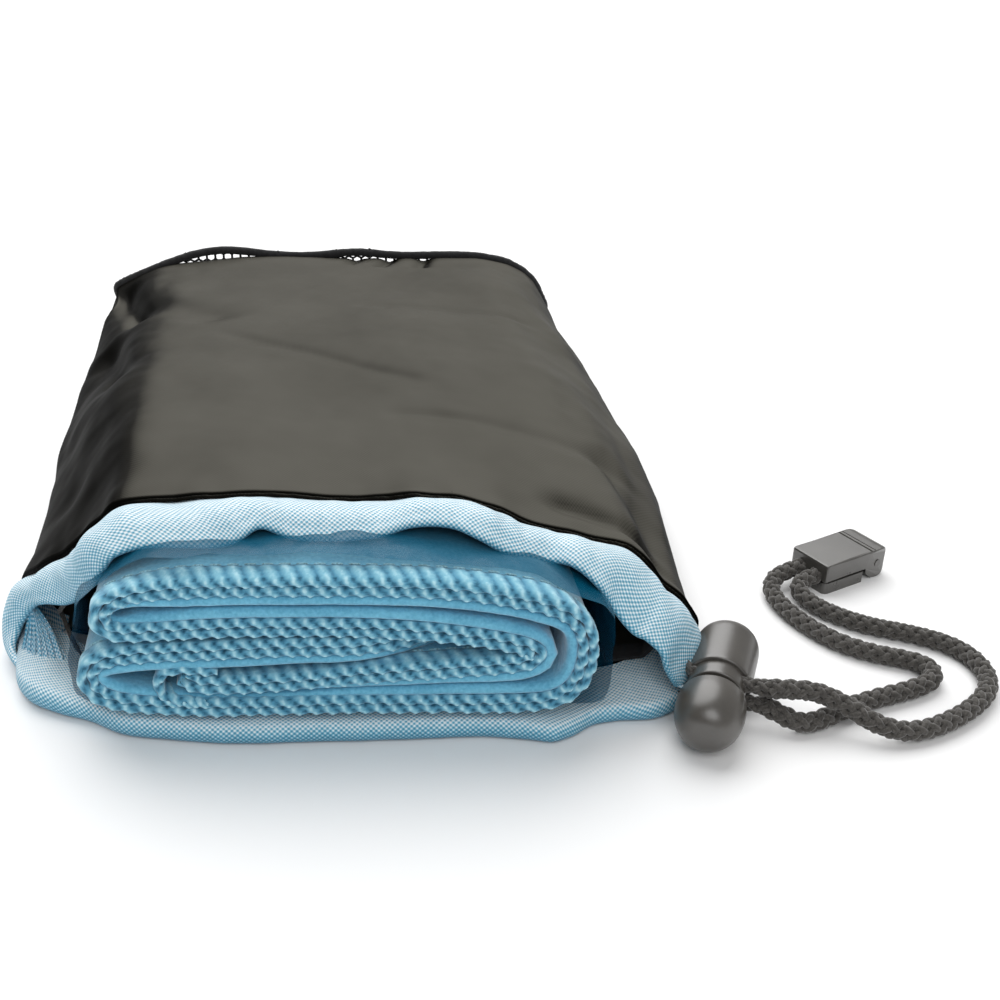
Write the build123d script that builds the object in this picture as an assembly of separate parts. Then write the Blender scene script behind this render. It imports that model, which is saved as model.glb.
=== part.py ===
from build123d import *
import math
import os

# Quick dry towel folded in its drawstring pouch, lying flat. Millimetres, +Z up.
# The mouth faces -Y, the closed end +Y. The origin is on the resting plane, under the pouch's middle.

# Driving dimensions of the pouch
REAR_Y = 100.0  # where the nylon ends and the mesh end panel starts
SEAM_Y = -75.0  # where the nylon meets the casing, on top
MOUTH_Y = -106.0  # the foremost section, in front of every edge
TOP_FRONT, TOP_REAR = 41.4, 27.0  # the pouch's height at the mouth and at the closed end
NYLON_T = 1.2
CASING_T = 4.8  # the flat casing, with the drawcord inside it
SPLIT_Z = 6.4  # the top and base halves meet here, down both flanks
WELT_T, WELT_W = 0.7, 3.0
FACING_T, FACING_X = 0.6, 46.0
STITCH_T, STITCH_L, STITCH_PITCH = 0.5, 2.6, 4.2
END_T = 2.6  # the bound seam at the closed end
MESH_T = 1.2
EDGE_R = 4.0  # rounding of the pouch's long edges

# The folded towel and the clear film sleeve round it
TOWEL_LEFT, TOWEL_RIGHT = -53.0, 43.0
TOWEL_LOW = 5.7
TOWEL_TOP_FRONT, TOWEL_TOP_REAR = 35.1, 24.4
TOWEL_R_FRONT, TOWEL_R_REAR = 12.0, 8.0  # upper corners
TOWEL_R_LOW = 10.5  # lower corners, alike all the way so that the bundle can slide out
TOWEL_REAR_Y = 80.0
FACE_Y, FACE_SKEW = -100.0, -0.07  # the folded face is at y = FACE_Y + FACE_SKEW * x
OVERLOCK_T, OVERLOCK_W = 1.2, 3.2
FILM_GAP, FILM_T = 0.3, 0.3
FILM_BACK = 4.0  # the film's mouth lies this far behind the towel's face

# The drawcord and its lock
CORD_D = 3.8
CORD_DEPTH = 2.1  # from the casing's outer surface to the cord's middle
HELD_D = 3.0  # the soft braid is squeezed to this in the casing and in the lock
LOCK_AT = Vector(61.5, -103.7, 6.4)  # centre of the plunger's dome
LOCK_TURN = 24.0  # degrees from +Y towards +X, of the lock's axis
HOLE_S = 7.3  # the cord hole's place along the lock's axis
HELD_STEP = 1.95  # the two strands lie one on the other, this far above and below the axis
STRAIGHT = 9.2  # the strands run straight this far out of the lock's axis, for its travel
DOME_R, DOME_FRONT, DOME_BACK = 6.4, 8.0, 1.0
BARREL_R, NECK_R, BORE_R, STEM_R = 6.1, 5.4, 4.45, 4.35
NECK_START, NECK_END, BARREL_END, BORE_END = 4.4, 8.4, 23.8, 22.0
STEM_END = 12.0
PRESS = 3.0
SLOT_HALF_W, SLOT_HALF_H = 1.8, 3.6
SPRING_R, SPRING_WIRE, SPRING_TURNS = 3.4, 0.35, 5

# The hinged cord end
END_AT = Vector(97.7, -51.9, 0)  # middle of its cord entry, on the resting plane
END_TURN = 25.5  # degrees from +X towards +Y
END_L, END_W, END_H = 15.5, 10.4, 7.0  # to the hinge pin's axis, and over the sides
BODY_H, PART_GAP = 2.6, 0.3
PIN_R, PIN_Z = 0.8, 3.5
SEAT_N, SEAT_Z = 2.2, 3.5  # the two cord seats are this far each side of the middle
SEAT_L, KNOT_R = 3.0, 2.1
CHAMBER_L, CHAMBER_W = 8.6, 8.6

os.makedirs("parts", exist_ok=True)
nodes = {}


def section(points, y, radius):
    """A closed face in the XZ plane at y, with rounded corners."""
    plane = Plane(origin=(0, y, 0), x_dir=(1, 0, 0), z_dir=(0, -1, 0))
    face = make_face(Polyline(*points, close=True))
    return plane * fillet(face.vertices(), radius)


def inset(points, t):
    """The polygon with each side moved inwards by t, or outwards if t is negative. It is anticlockwise."""
    moved = []
    for i, corner in enumerate(points):
        before, after = points[i - 1], points[(i + 1) % len(points)]
        a = Vector(corner[0] - before[0], corner[1] - before[1]).normalized()
        b = Vector(after[0] - corner[0], after[1] - corner[1]).normalized()
        bisector = Vector(-a.Y - b.Y, a.X + b.X)
        scale = t / (1 + a.dot(b))
        moved.append((corner[0] + bisector.X * scale, corner[1] + bisector.Y * scale))
    return moved


def between(p, q, share):
    """The polygon a share of the way from p to q."""
    return [(a[0] + (b[0] - a[0]) * share, a[1] + (b[1] - a[1]) * share) for a, b in zip(p, q)]


# The pouch's outline across, from the base's left end round by the right flank. The right flank
# draws in towards the mouth, where the drawcord comes out.
MOUTH = [(-58, 0), (46.5, 0), (52.8, 6), (52.8, 27), (41, 40.4), (24, 41.4), (-44, 41.4), (-57, 35), (-64, 9)]
SEAM = [(-60, 0), (58, 0), (66.7, 7), (57, 27), (39, 38.8), (24, 39.6), (-44, 39.6), (-59, 33.5), (-68.5, 9)]
REAR = [(-58, 0), (56, 0), (66, 5), (57, 17), (40, 25), (26, 27), (-46, 27), (-58, 22.5), (-67, 6)]


def pouch_form(t, radius=None):
    """The pouch's outer form with its walls moved in by t. It runs past both its ends."""
    r = max(EDGE_R - t, 1.0) if radius is None else radius
    front = loft([section(inset(MOUTH, t), MOUTH_Y, r), section(inset(SEAM, t), SEAM_Y, r)], ruled=True)
    back = loft([section(inset(SEAM, t), SEAM_Y, r), section(inset(REAR, t), REAR_Y, r)], ruled=True)
    return front + back


def plan(points, low=-5.0, high=60.0):
    """A block over an outline in plan."""
    return Pos(0, 0, low) * extrude(make_face(Polyline(*points, close=True)), high - low)


def along(line, far_y):
    """The outline between a line across the pouch, given from left to right, and far_y."""
    return [*line, (line[-1][0], far_y), (line[0][0], far_y)]


# Edges in plan, from left to right
SEAM_LINE = [(-80, -52), (-66, -60), (-50, -73), (-25, -76), (25, -77), (55, -75), (80, -74)]
TOP_EDGE = [(-80, -62), (-68, -68), (-58, -79), (-46, -91), (-18, -91), (12, -90), (30, -93), (80, -97)]
BASE_EDGE = [(-80, -62), (-68, -68), (-60, -82), (-48, -95), (-34, -102), (30, -103), (46, -101), (80, -93)]

outer = pouch_form(0)
nylon = outer - pouch_form(NYLON_T)
casing = outer - pouch_form(CASING_T)
behind_seam = plan(along(SEAM_LINE, REAR_Y))
above = Pos(0, 0, SPLIT_Z + 40) * Box(300, 400, 80)
below = Pos(0, 0, SPLIT_Z - 40) * Box(300, 400, 80)

nodes["pouch_top_panel"] = (nylon & behind_seam) & above
nodes["pouch_base_panel"] = (nylon & behind_seam) & below

# The welt is the nylon's turned front edge, which stands proud of the top along the seam.
welt_line = [(x, y + WELT_W) for x, y in SEAM_LINE]
welt_area = plan(SEAM_LINE + welt_line[::-1], low=14.0)
nodes["hem_welt_top"] = (pouch_form(-WELT_T) - outer) & welt_area


def on_line(line, x):
    """The y of a line in plan at x."""
    for (x0, y0), (x1, y1) in zip(line, line[1:]):
        if x0 <= x <= x1:
            return y0 + (y1 - y0) * (x - x0) / (x1 - x0)
    raise ValueError(x)


stitches = None
for i in range(-10, 11):
    x = i * STITCH_PITCH
    dash = Pos(x, on_line(SEAM_LINE, x) - 1.6, 36) * Box(STITCH_L, 0.7, 20)
    stitches = dash if stitches is None else stitches + dash
nodes["casing_stitching"] = (pouch_form(-STITCH_T) - outer) & stitches

# The closed end: a mesh panel in a bound seam, which stands a little above the nylon
RING = [(-58, 0), (56, 0), (67, 5), (58, 18.5), (41, 27), (26, 29.2), (-46, 29.2), (-59, 24.5), (-68, 6)]
mid = REAR_Y + END_T / 2
ring = extrude(section(RING, mid, EDGE_R), END_T / 2, both=True)
hole = extrude(section(inset(RING, 3.0), mid, 1.6), END_T, both=True)
nodes["end_seam"] = ring - hole
nodes["mesh_end_panel"] = extrude(section(inset(RING, 3.0), mid, 1.6), MESH_T / 2, both=True)

# Seam allowances inside both flanks
cavity = pouch_form(NYLON_T)
for side, name in ((-1, "side_seam_left"), (1, "side_seam_right")):
    bar = Pos(side * 64, 25, SPLIT_Z) * Box(11, 140, 1.0)
    nodes[name] = bar & cavity

# The towel's bundle, a little lower at its closed end
def bundle(grow, front_y, rear_y):
    """The folded towel's form, grown by grow all round, from a skewed front to a flat rear."""

    def shape(top, radius, y):
        left, right, low, high = TOWEL_LEFT - grow, TOWEL_RIGHT + grow, TOWEL_LOW - grow, top + grow
        corners = [(left, low), (right, low), (right, high), (left, high)]
        plane = Plane(origin=(0, y, 0), x_dir=(1, 0, 0), z_dir=(0, -1, 0))
        face = make_face(Polyline(*corners, close=True))
        face = fillet(face.vertices().sort_by(Axis.Y)[:2], TOWEL_R_LOW + grow)
        return plane * fillet(face.vertices().sort_by(Axis.Y)[-2:], radius + grow)

    fore = shape(TOWEL_TOP_FRONT, TOWEL_R_FRONT, FACE_Y - 8)
    body = loft([fore, shape(TOWEL_TOP_REAR, TOWEL_R_REAR, TOWEL_REAR_Y + 4)], ruled=True)
    front = [(x, front_y + FACE_SKEW * x) for x in (-80, 80)]
    return body & plan(along(front, rear_y))


nodes["towel"] = bundle(0, FACE_Y + OVERLOCK_T, TOWEL_REAR_Y)
face_slice = bundle(0, FACE_Y, TOWEL_REAR_Y) - bundle(0, FACE_Y + OVERLOCK_T, TOWEL_REAR_Y)
nodes["towel_overlock_edge"] = face_slice - bundle(-OVERLOCK_W, FACE_Y - 2, TOWEL_REAR_Y)
film_in = bundle(FILM_GAP, FACE_Y - 4, TOWEL_REAR_Y + FILM_GAP)
film_out = bundle(FILM_GAP + FILM_T, FACE_Y + FILM_BACK, TOWEL_REAR_Y + FILM_GAP + FILM_T)
nodes["clear_sleeve"] = film_out - film_in


def tube(points, diameter, radii):
    """A cord along straight runs joined by tangent arcs, its volume checked against its length."""
    path = FilletPolyline(*points, radius=radii)
    start = Plane(origin=path @ 0, z_dir=path % 0)
    solid = sweep(start * Circle(diameter / 2), path=path)
    share = solid.volume / (math.pi * diameter**2 / 4 * path.length)
    print(f"  cord {path.length:.1f} mm long, volume share {share:.4f}")
    return solid


def arcs(points):
    """The largest tangent arc that each corner's two runs allow."""
    radii = []
    for a, b, c in zip(points, points[1:], points[2:]):
        turn = (b - a).get_angle(c - b)
        radii.append(0.45 * min((b - a).length, (c - b).length) / math.tan(math.radians(turn / 2)))
    print("  radii", " ".join(f"{r:.1f}" for r in radii))
    return radii


def cord(points, diameter):
    points = [Vector(*p) for p in points]
    return tube(points, diameter, arcs(points))


# The lock's own directions: its axis points into the barrel, and across is the cord hole's way out
turn = math.radians(LOCK_TURN)
axis = Vector(math.sin(turn), math.cos(turn), 0)
across = Vector(math.cos(turn), -math.sin(turn), 0)
lock_frame = Plane(origin=LOCK_AT, x_dir=across, z_dir=axis)
hole_at = LOCK_AT + axis * HOLE_S


def strand(up, out):
    """A point on a strand in the lock, out along the hole from the lock's axis."""
    p = hole_at + across * out + Vector(0, 0, up * HELD_STEP)
    return (p.X, p.Y, p.Z)


def wall(side, share, y):
    """A point inside the casing's wall at y, a share of the way along a side of the outline."""
    ring = inset(between(MOUTH, SEAM, (y - MOUTH_Y) / (SEAM_Y - MOUTH_Y)), CORD_DEPTH)
    a, b = ring[side], ring[(side + 1) % len(ring)]
    return (a[0] + (b[0] - a[0]) * share, y, a[1] + (b[1] - a[1]) * share)


# The drawcord in the casing, from the lock's upper strand round the mouth to its lower strand
HELD_ROUTE = [
    strand(1, STRAIGHT),
    strand(1, -8.2),
    wall(2, 0.36, -91.4),
    wall(2, 0.7, -90.4),
    wall(3, 0.0, -89.8),
    wall(3, 0.55, -89.4),
    wall(4, 0.0, -89.0),
    wall(5, 0.0, -88.2),
    wall(5, 0.3, -87.6),
    wall(5, 0.66, -88.0),
    wall(6, 0.0, -87.2),
    wall(7, 0.0, -83.4),
    wall(7, 0.36, -79.6),
    wall(7, 0.7, -76.6),
    wall(8, 0.0, -75.4),
    wall(0, 0.0, -80.4),
    wall(0, 0.07, -87.6),
    wall(0, 0.16, -94.2),
    wall(0, 0.28, -97.9),
    wall(0, 0.45, -99.0),
    wall(0, 0.64, -99.3),
    wall(0, 0.82, -98.8),
    wall(0, 0.93, -97.0),
    wall(1, 0.1, -94.6),
    strand(-1, -8.2),
    strand(-1, STRAIGHT),
]
held = cord(HELD_ROUTE, HELD_D)
nodes["drawcord_in_casing"] = held
channel = held
area_between = plan(SEAM_LINE + TOP_EDGE[::-1])
nodes["casing_band_top"] = ((casing & area_between) & above) - channel
nodes["casing_band_base"] = ((casing & plan(SEAM_LINE + BASE_EDGE[::-1])) & below) - channel

# A narrow facing covers the casing's cut edge inside the mouth, beside the towel.
facing = pouch_form(CASING_T) - pouch_form(CASING_T + FACING_T)
nodes["mouth_lining"] = facing & (Pos(FACING_X + 15, SEAM_Y - 8, 15) * Box(30, 5, 60))

# The two free strands. The upper one leaves over the lower one, and both end in the cord end.
end_turn = math.radians(END_TURN)
end_axis = Vector(math.cos(end_turn), math.sin(end_turn), 0)
end_side = Vector(-math.sin(end_turn), math.cos(end_turn), 0)
end_frame = Plane(origin=END_AT, x_dir=end_axis, z_dir=(0, 0, 1))


def seat(side, along_x):
    """A point on a cord seat's axis, along_x into the cord end."""
    p = END_AT + end_axis * along_x + end_side * (side * SEAT_N) + Vector(0, 0, SEAT_Z)
    return (p.X, p.Y, p.Z)


STRAND_A = [
    strand(1, STRAIGHT),
    (76.6, -101.2, 8.3),
    (80.6, -101.1, 7.8),
    (84.0, -102.2, 7.0),
    (87.4, -104.4, 5.9),
    (91.0, -106.6, 4.0),
    (96.4, -107.7, 2.3),
    (102.6, -106.4, 1.95),
    (109.2, -103.2, 1.95),
    (115.6, -98.6, 1.95),
    (119.8, -92.8, 1.95),
    (120.4, -86.0, 1.95),
    (117.6, -79.8, 1.95),
    (111.2, -75.4, 1.95),
    (104.0, -72.2, 1.95),
    (98.4, -67.6, 1.95),
    (94.6, -62.4, 2.0),
    (93.4, -58.2, 2.5),
    (94.6, -55.6, 3.1),
    seat(-1, 0.6),
    seat(-1, 4.6),
]
STRAND_B = [
    strand(-1, STRAIGHT),
    (75.8, -103.2, 3.6),
    (79.4, -103.6, 2.1),
    (83.4, -102.2, 1.95),
    (88.0, -99.6, 1.95),
    (94.2, -97.0, 1.95),
    (100.8, -95.2, 1.95),
    (106.0, -93.4, 1.95),
    (109.8, -90.8, 1.95),
    (110.0, -86.8, 1.95),
    (106.4, -84.2, 1.95),
    (100.8, -81.8, 1.95),
    (95.4, -77.6, 1.95),
    (91.4, -71.4, 1.95),
    (88.8, -64.8, 1.95),
    (87.8, -58.6, 2.0),
    (88.8, -54.2, 2.5),
    (91.6, -52.0, 3.2),
    seat(1, 0.6),
    seat(1, 4.6),
]
nodes["drawcord_strand_a"] = cord(STRAND_A, CORD_D)
nodes["drawcord_strand_b"] = cord(STRAND_B, CORD_D)


def rod(radius, start, end):
    """A cylinder on the local Z axis from start to end."""
    return Pos(0, 0, (start + end) / 2) * Cylinder(radius, end - start)


# The cord lock, in its own frame: +Z into the barrel, +X along the cord hole
def hole_block(start, end):
    """The cord hole's prism, rounded at its ends, from start to end along the lock's axis."""
    block = Pos(0, 0, (start + end) / 2) * Box(20, 2 * SLOT_HALF_H, end - start)
    return fillet(block.edges().filter_by(Axis.X), 1.2)


slot_start, slot_end = HOLE_S - SLOT_HALF_W, HOLE_S + SLOT_HALF_W
shell = rod(BARREL_R, NECK_END, BARREL_END)
shell = fillet(shell.edges().sort_by(Axis.Z)[-1], 1.8)
shell = chamfer(shell.edges().sort_by(Axis.Z)[0], 0.5)
shell += rod(NECK_R, NECK_START, NECK_END + 1)
barrel = shell - rod(BORE_R, NECK_START - 1, BORE_END) - hole_block(slot_start, slot_end)
ball_r = DOME_R + 0.1
ball_s = ball_r - DOME_FRONT
dome = (Pos(0, 0, ball_s) * Sphere(ball_r) & rod(DOME_R, -DOME_FRONT - 1, ball_s + 1))
dome += rod(DOME_R, ball_s, DOME_BACK)
plunger = dome + rod(STEM_R, DOME_BACK, STEM_END) - hole_block(slot_start - PRESS, slot_end)
coil_length = BORE_END - STEM_END - 2 * SPRING_WIRE - 0.2
coil = Helix(coil_length / SPRING_TURNS, coil_length, SPRING_R)
coil_end = Plane(origin=coil @ 0, z_dir=coil % 0)
spring = Pos(0, 0, STEM_END + SPRING_WIRE + 0.1) * sweep(coil_end * Circle(SPRING_WIRE), path=coil)
nodes["lock_barrel"] = lock_frame * barrel
nodes["lock_plunger"] = lock_frame * plunger
nodes["lock_spring"] = lock_frame * spring

# The cord end, in its own frame: +X from the cord entry to the hinge, +Z up
LID_LOW = BODY_H + PART_GAP
KNUCKLE_R, KNUCKLE_W, SIDE_GAP = 3.45, 4.6, 0.3
block = Pos(END_L / 2 + 1.5, 0, END_H / 2) * Box(END_L + 3, END_W, END_H)
block = fillet(block.edges().filter_by(Axis.Z).sort_by(Axis.X)[:2], 1.2)
barrel_form = Pos(END_L, 0, PIN_Z) * Rot(90, 0, 0) * Cylinder(KNUCKLE_R, END_W)
front_of_pin = Pos(END_L / 2, 0, END_H / 2) * Box(END_L, 30, 30)
whole = (block & front_of_pin) + barrel_form
chamber = Pos(SEAT_L + CHAMBER_L / 2, 0, SEAT_Z) * Box(CHAMBER_L, CHAMBER_W, 2 * (SEAT_Z - 0.9))
seats = None
for side in (-1, 1):
    groove = Pos(SEAT_L / 2, side * SEAT_N, SEAT_Z) * Rot(0, 90, 0) * Cylinder(CORD_D / 2 + 0.2, SEAT_L + 2)
    seats = groove if seats is None else seats + groove
inside = chamber + seats
pin_hole = Pos(END_L, 0, PIN_Z) * Rot(90, 0, 0) * Cylinder(PIN_R + 0.05, END_W + 2)
hinge_start = END_L - KNUCKLE_R - 0.6
knuckle_zone = Pos(hinge_start + 9, 0, 10) * Box(20, KNUCKLE_W, 40)
plate_zone = Pos(hinge_start - SIDE_GAP - 10, 0, BODY_H - 10) * Box(20, 30, 20)
tongue = Pos(hinge_start, 0, BODY_H - 10) * Box(8, 30, 20)
body_solid = (whole & plate_zone) + ((barrel_form + (whole & tongue)) & knuckle_zone)
lid_zone = Pos(END_L - 10, 0, LID_LOW + 10) * Box(20, 30, 20)
knuckle_slot = Pos(hinge_start + 10, 0, 10) * Box(20, KNUCKLE_W + 2 * SIDE_GAP, 44)
lid_solid = ((whole & lid_zone) + barrel_form) - knuckle_slot
nodes["cord_end_body"] = end_frame * (body_solid - inside - pin_hole)
nodes["cord_end_lid"] = end_frame * (lid_solid - inside - pin_hole)
pin = Pos(END_L, 0, PIN_Z) * Rot(90, 0, 0) * Cylinder(PIN_R, END_W)
nodes["cord_end_pin"] = end_frame * pin
knots = None
for side in (-1, 1):
    knot = Pos(4.6 + KNOT_R, side * SEAT_N, SEAT_Z) * Sphere(KNOT_R)
    knots = knot if knots is None else knots + knot
nodes["cord_knots"] = end_frame * knots

for name, solid in nodes.items():
    export_step(solid, f"parts/{name}.step")
    print(f"{name}: {len(solid.solids())} solid(s), {solid.volume:.0f} mm3")
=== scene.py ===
from math import cos, exp, pi, radians, sin, sqrt

import bpy
import numpy as np
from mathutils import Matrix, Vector, noise


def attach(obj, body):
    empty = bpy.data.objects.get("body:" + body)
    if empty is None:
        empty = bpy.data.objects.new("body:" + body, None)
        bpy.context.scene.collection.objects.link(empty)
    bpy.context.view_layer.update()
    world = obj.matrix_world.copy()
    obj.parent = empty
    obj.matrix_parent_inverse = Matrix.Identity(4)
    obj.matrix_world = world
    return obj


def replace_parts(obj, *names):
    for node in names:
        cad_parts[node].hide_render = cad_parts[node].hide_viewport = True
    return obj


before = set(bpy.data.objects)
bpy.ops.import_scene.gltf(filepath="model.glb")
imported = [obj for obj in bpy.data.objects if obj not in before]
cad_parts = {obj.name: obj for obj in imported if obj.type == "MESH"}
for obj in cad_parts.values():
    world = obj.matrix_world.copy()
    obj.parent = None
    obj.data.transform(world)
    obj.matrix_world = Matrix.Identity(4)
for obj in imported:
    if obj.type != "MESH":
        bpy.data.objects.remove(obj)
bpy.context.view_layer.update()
MM = 0.001

# -------- small tools


class Track:
    """A smooth curve through (key, value) pairs, in key order. A value is a number or a point."""

    def __init__(self, pairs):
        self.k = np.array([p[0] for p in pairs], float)
        self.v = np.array([np.atleast_1d(p[1]) for p in pairs], float)
        gaps = np.diff(self.k)[:, None]
        slopes = np.diff(self.v, axis=0) / gaps
        inner = (slopes[:-1] * gaps[1:] + slopes[1:] * gaps[:-1]) / (gaps[:-1] + gaps[1:])
        self.m = np.vstack([slopes[:1], inner, slopes[-1:]])

    def __call__(self, t):
        t = min(max(t, self.k[0]), self.k[-1])
        i = min(int(np.searchsorted(self.k, t, side="right")) - 1, len(self.k) - 2)
        h = self.k[i + 1] - self.k[i]
        s = (t - self.k[i]) / h
        a, b = self.v[i], self.v[i + 1]
        p = (2 * s**3 - 3 * s**2 + 1) * a + (s**3 - 2 * s**2 + s) * h * self.m[i]
        p = p + (-2 * s**3 + 3 * s**2) * b + (s**3 - s**2) * h * self.m[i + 1]
        return p if len(p) > 1 else float(p[0])


def step(a, b, t):
    """0 before a, 1 after b, smooth between them."""
    s = min(max((t - a) / (b - a), 0), 1)
    return s * s * (3 - 2 * s)


def unit(v):
    """Each vector along the last axis, at length 1."""
    return v / np.linalg.norm(v, axis=-1, keepdims=True)


def noisy(x, y, z, scale, seed):
    return noise.noise(Vector((x / scale + seed, y / scale - seed, z / scale + 2 * seed)))


def resample(points, gap):
    """Points an even gap apart along a dense open line."""
    points = np.asarray(points, float)
    d = np.concatenate([[0], np.cumsum(np.linalg.norm(np.diff(points, axis=0), axis=1))])
    n = max(int(round(d[-1] / gap)), 2)
    t = np.linspace(0, d[-1], n + 1)
    return np.stack([np.interp(t, d, points[:, i]) for i in range(points.shape[1])], axis=1), t


def link(obj):
    bpy.context.scene.collection.objects.link(obj)
    return obj


def mesh_piece(name, verts, faces, material, body, smooth=True):
    """A mesh object from points in millimetres, riding on a body."""
    data = bpy.data.meshes.new(name)
    data.from_pydata([tuple(v) for v in np.asarray(verts) * MM], [], faces)
    data.validate()
    for p in data.polygons:
        p.use_smooth = smooth
    data.materials.append(material)
    obj = link(bpy.data.objects.new(name, data))
    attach(obj, body)
    return obj


def grid_faces(nu, nv, close_u=False, close_v=False, first=0):
    faces = []
    for i in range(nu if close_u else nu - 1):
        for j in range(nv if close_v else nv - 1):
            a, b = i * nv + j, i * nv + (j + 1) % nv
            c, d = ((i + 1) % nu) * nv + (j + 1) % nv, ((i + 1) % nu) * nv + j
            faces.append((first + a, first + b, first + c, first + d))
    return faces


def grid_piece(name, rows, material, body, close_u=False, close_v=False, flip=False, marks=None):
    """A mesh object from a grid of points in millimetres. marks are per-point attributes."""
    rows = np.asarray(rows, float)
    nu, nv = rows.shape[:2]
    faces = grid_faces(nu, nv, close_u, close_v)
    if flip:
        faces = [f[::-1] for f in faces]
    obj = mesh_piece(name, rows.reshape(-1, 3), faces, material, body)
    for mark, values in (marks or {}).items():
        values = np.asarray(values, float)
        kind = "FLOAT_VECTOR" if values.ndim == 3 else "FLOAT"
        attribute = obj.data.attributes.new(mark, kind, "POINT")
        attribute.data.foreach_set("vector" if kind == "FLOAT_VECTOR" else "value", values.reshape(-1))
    return obj


def modify(obj, kind, **settings):
    modifier = obj.modifiers.new(kind.lower(), kind)
    for key, value in settings.items():
        setattr(modifier, key, value)


def bake(obj):
    """Replaces an object's mesh with its modified mesh."""
    depsgraph = bpy.context.evaluated_depsgraph_get()
    data = bpy.data.meshes.new_from_object(obj.evaluated_get(depsgraph))
    obj.modifiers.clear()
    obj.data = data


def thicken(obj, thickness, offset=-1):
    """Gives a sheet a thickness in metres, on the side that offset says."""
    modify(obj, "SOLIDIFY", thickness=thickness, offset=offset)
    bake(obj)


def cut_corners(points, rounds):
    """A polygon's line with its corners cut again and again, until it is smooth."""
    points = np.asarray(points, float)
    for _ in range(rounds):
        a, b = points[:-1], points[1:]
        cut = np.empty((2 * len(a), points.shape[1]))
        cut[0::2], cut[1::2] = 0.75 * a + 0.25 * b, 0.25 * a + 0.75 * b
        points = np.vstack([points[:1], cut, points[-1:]])
    return points


def softened(ring, reach, width):
    """A closed line of points, each blended with its neighbours by a bell of this width in steps."""
    steps = np.arange(-reach, reach + 1)
    weights = np.exp(-((steps / width) ** 2))
    return sum(np.roll(ring, k, axis=0) * w for k, w in zip(steps, weights)) / weights.sum()


def fabric_marks(rows):
    """The cloth's own two directions in millimetres, for a weave that follows it."""
    rows = np.asarray(rows, float)
    marks = np.zeros_like(rows)
    marks[1:, :, 0] = np.cumsum(np.linalg.norm(np.diff(rows, axis=0), axis=2).mean(axis=1))[:, None]
    marks[:, 1:, 1] = np.cumsum(np.linalg.norm(np.diff(rows, axis=1), axis=2), axis=1)
    return marks


def woven_piece(name, rows, flip=False):
    return grid_piece(name, rows, CASING, "pouch", flip=flip, marks={"fabric": fabric_marks(rows)})


# -------- materials


class Shader:
    """A Principled material with short ways to add nodes."""

    def __init__(self, name, color, roughness, **sockets):
        self.mat = bpy.data.materials.new(name)
        self.mat.use_nodes = True
        self.tree = self.mat.node_tree
        self.bsdf = self.tree.nodes["Principled BSDF"]
        self.bsdf.inputs["Base Color"].default_value = (*color, 1)
        self.bsdf.inputs["Roughness"].default_value = roughness
        for key, value in sockets.items():
            self.bsdf.inputs[key.replace("_", " ")].default_value = value

    def node(self, kind, settings=None, **inputs):
        n = self.tree.nodes.new(kind)
        for key, value in (settings or {}).items():
            setattr(n, key, value)
        for key, value in inputs.items():
            socket = n.inputs[int(key[1:])] if key[0] == "i" and key[1:].isdigit() else n.inputs[key]
            if isinstance(value, bpy.types.NodeSocket):
                self.tree.links.new(value, socket)
            else:
                socket.default_value = value
        return n

    def math(self, op, a, b=0, c=0):
        return self.node("ShaderNodeMath", {"operation": op}, i0=a, i1=b, i2=c).outputs[0]

    def attribute(self, name, out="Fac"):
        return self.node("ShaderNodeAttribute", {"attribute_name": name}).outputs[out]

    def place(self):
        return self.node("ShaderNodeTexCoord").outputs["Object"]

    def noise(self, scale, detail):
        n = self.node("ShaderNodeTexNoise", None, Scale=scale, Detail=detail, Vector=self.place())
        return n.outputs["Fac"]

    def color(self, fac, *stops):
        """The base colour, from a ramp over fac."""
        n = self.node("ShaderNodeValToRGB", None, Fac=fac)
        while len(n.color_ramp.elements) < len(stops):
            n.color_ramp.elements.new(0.5)
        for element, (position, color) in zip(n.color_ramp.elements, stops):
            element.position = position
            element.color = (*color, 1)
        self.tree.links.new(n.outputs["Color"], self.bsdf.inputs["Base Color"])

    def uneven_gloss(self, noise, low):
        self.tree.links.new(self.math("MULTIPLY_ADD", noise, 0.16, low), self.bsdf.inputs["Roughness"])

    def bump(self, height, strength, distance):
        n = self.node("ShaderNodeBump", None, Strength=strength, Distance=distance, Height=height)
        self.tree.links.new(n.outputs["Normal"], self.bsdf.inputs["Normal"])

    def split(self, vector):
        return self.node("ShaderNodeSeparateXYZ", None, i0=vector).outputs

    def facing(self):
        """The x, y and z of the surface's own normal."""
        return self.split(self.node("ShaderNodeNewGeometry").outputs["Normal"])

    def scaled(self, socket, factor):
        return self.math("MULTIPLY", socket, factor)

    def blend(self, *terms):
        """The sum of some (socket, factor) products."""
        total, *others = (self.scaled(*term) for term in terms)
        for other in others:
            total = self.math("ADD", total, other)
        return total

    def weave(self, u, warp, v, weft):
        """The height of a plain weave: threads that pass over and under each other."""
        a = self.math("SINE", self.scaled(u, pi / warp))
        b = self.math("SINE", self.scaled(v, pi / weft))
        return self.math("MULTIPLY_ADD", self.math("MULTIPLY", a, b), 0.5, 0.5)


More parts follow.
